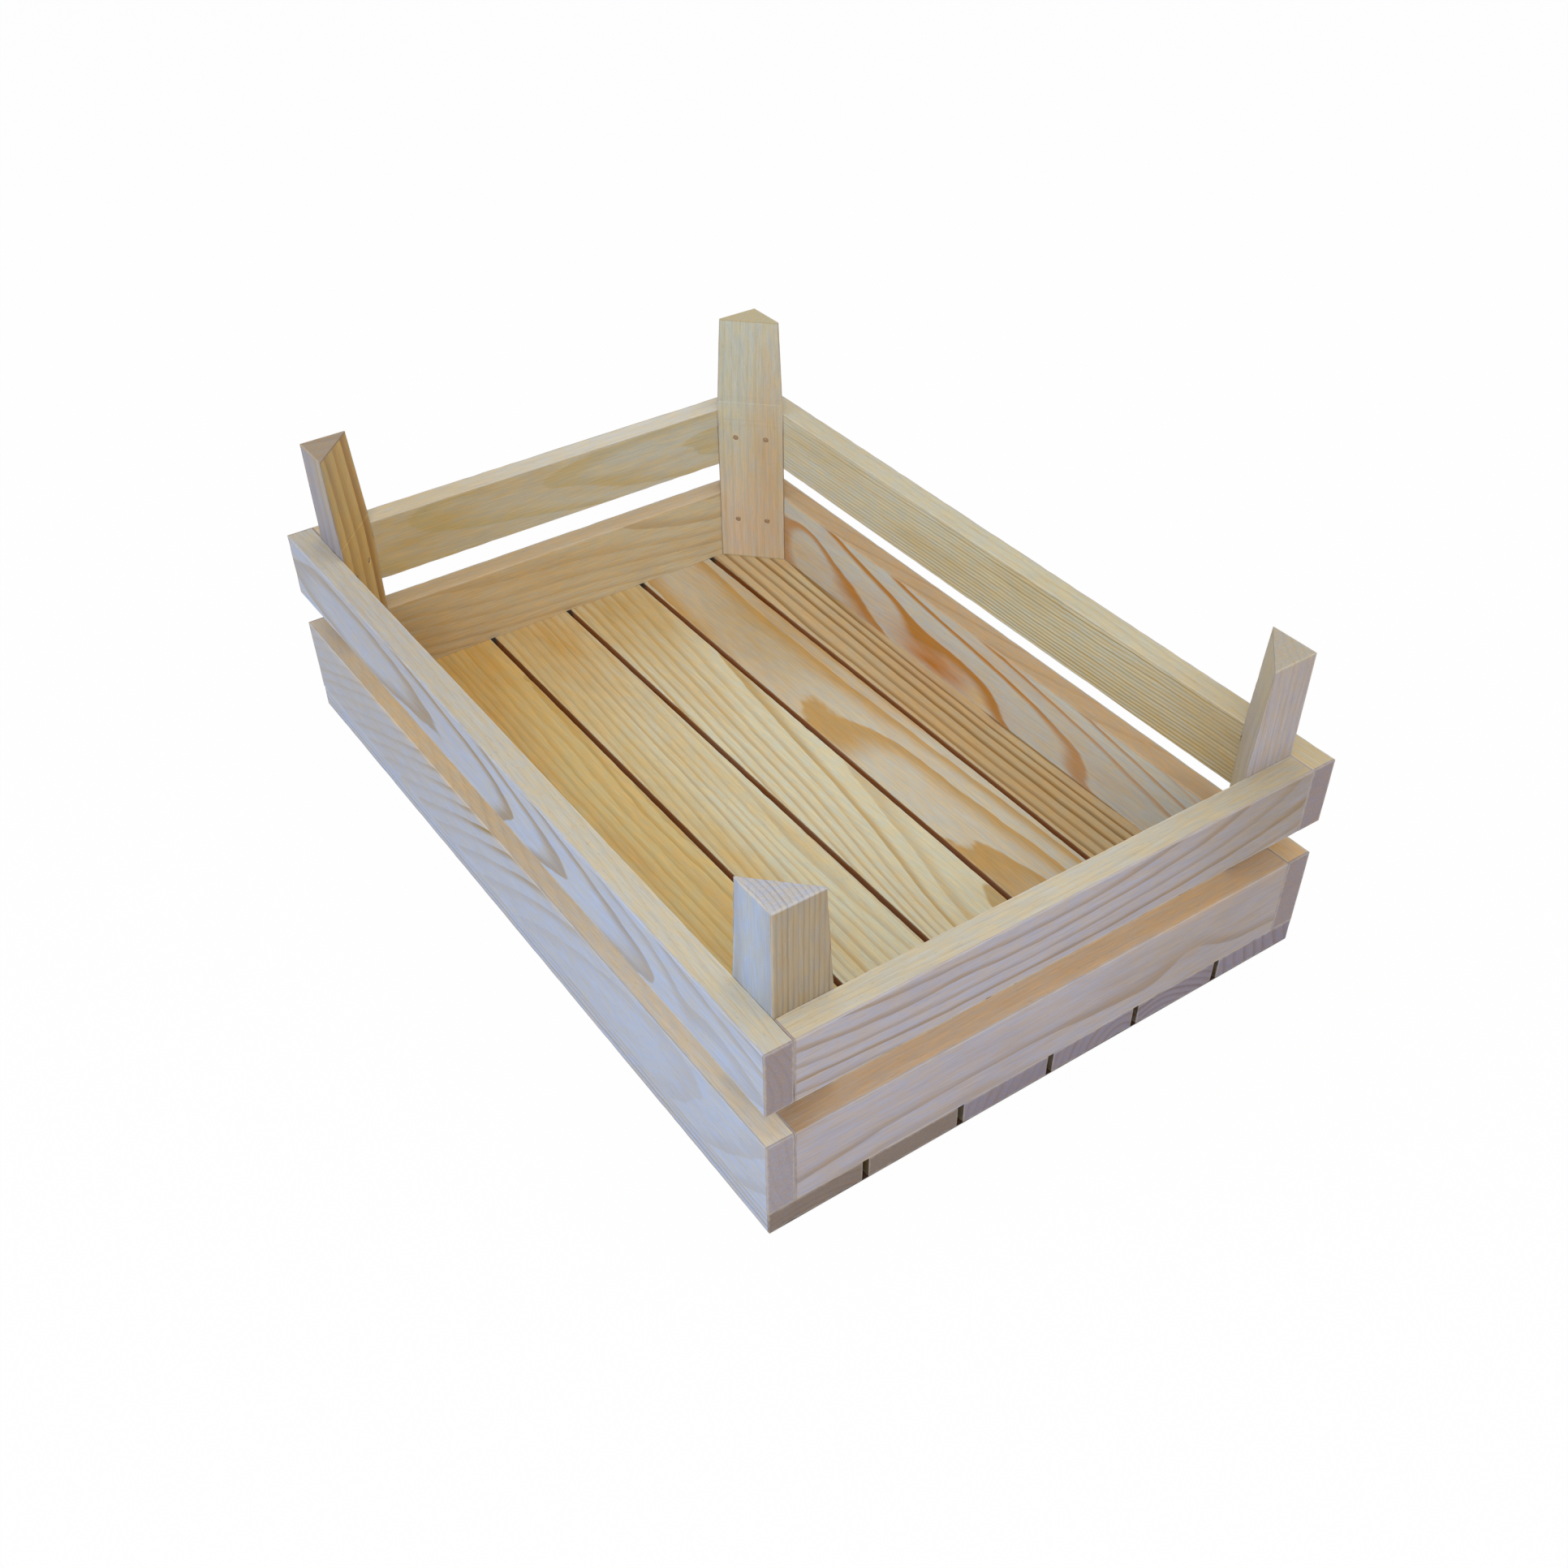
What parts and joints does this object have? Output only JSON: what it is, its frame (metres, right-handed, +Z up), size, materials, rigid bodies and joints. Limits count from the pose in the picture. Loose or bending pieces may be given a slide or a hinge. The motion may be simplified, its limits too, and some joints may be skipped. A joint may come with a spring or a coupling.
{
  "type": "wooden crate",
  "caption": "Open rectangular pine crate with a slatted floor, spaced side boards and triangular corner posts that rise above the rim for stacking.",
  "frame": {"origin": "on the ground under the middle of the crate, at the bottom centre of its bounding box", "axes": "+X along the long side, +Y across from the front long side to the back one, +Z up"},
  "size_m": [0.4, 0.27, 0.145],
  "materials": {
    "board_pine": "planed, bare",
    "floor_pine": "planed, bare",
    "post_pine": "sawn, bare",
    "nail_steel": "dull bright wire"
  },
  "bodies": {
    "root": {"floor_slat_1": "floor_pine", "floor_slat_2": "floor_pine", "floor_slat_3": "floor_pine", "floor_slat_4": "floor_pine", "floor_slat_5": "floor_pine", "floor_slat_6": "floor_pine", "lower_front_board": "board_pine", "lower_back_board": "board_pine", "lower_left_board": "board_pine", "lower_right_board": "board_pine", "upper_front_board": "board_pine", "upper_back_board": "board_pine", "upper_left_board": "board_pine", "upper_right_board": "board_pine", "front_left_post": "post_pine", "front_right_post": "post_pine", "back_left_post": "post_pine", "back_right_post": "post_pine", "front_left_post_nail_1": "nail_steel", "front_left_post_nail_2": "nail_steel", "front_left_post_nail_3": "nail_steel", "front_left_post_nail_4": "nail_steel", "front_right_post_nail_1": "nail_steel", "front_right_post_nail_2": "nail_steel", "front_right_post_nail_3": "nail_steel", "front_right_post_nail_4": "nail_steel", "back_left_post_nail_1": "nail_steel", "back_left_post_nail_2": "nail_steel", "back_left_post_nail_3": "nail_steel", "back_left_post_nail_4": "nail_steel", "back_right_post_nail_1": "nail_steel", "back_right_post_nail_2": "nail_steel", "back_right_post_nail_3": "nail_steel", "back_right_post_nail_4": "nail_steel", "floor_slat_1_nail_1": "nail_steel", "floor_slat_1_nail_2": "nail_steel", "floor_slat_1_nail_3": "nail_steel", "floor_slat_1_nail_4": "nail_steel", "floor_slat_2_nail_1": "nail_steel", "floor_slat_2_nail_2": "nail_steel", "floor_slat_2_nail_3": "nail_steel", "floor_slat_2_nail_4": "nail_steel", "floor_slat_3_nail_1": "nail_steel", "floor_slat_3_nail_2": "nail_steel", "floor_slat_3_nail_3": "nail_steel", "floor_slat_3_nail_4": "nail_steel", "floor_slat_4_nail_1": "nail_steel", "floor_slat_4_nail_2": "nail_steel", "floor_slat_4_nail_3": "nail_steel", "floor_slat_4_nail_4": "nail_steel", "floor_slat_5_nail_1": "nail_steel", "floor_slat_5_nail_2": "nail_steel", "floor_slat_5_nail_3": "nail_steel", "floor_slat_5_nail_4": "nail_steel", "floor_slat_6_nail_1": "nail_steel", "floor_slat_6_nail_2": "nail_steel", "floor_slat_6_nail_3": "nail_steel", "floor_slat_6_nail_4": "nail_steel"}
  },
  "joints": []
}
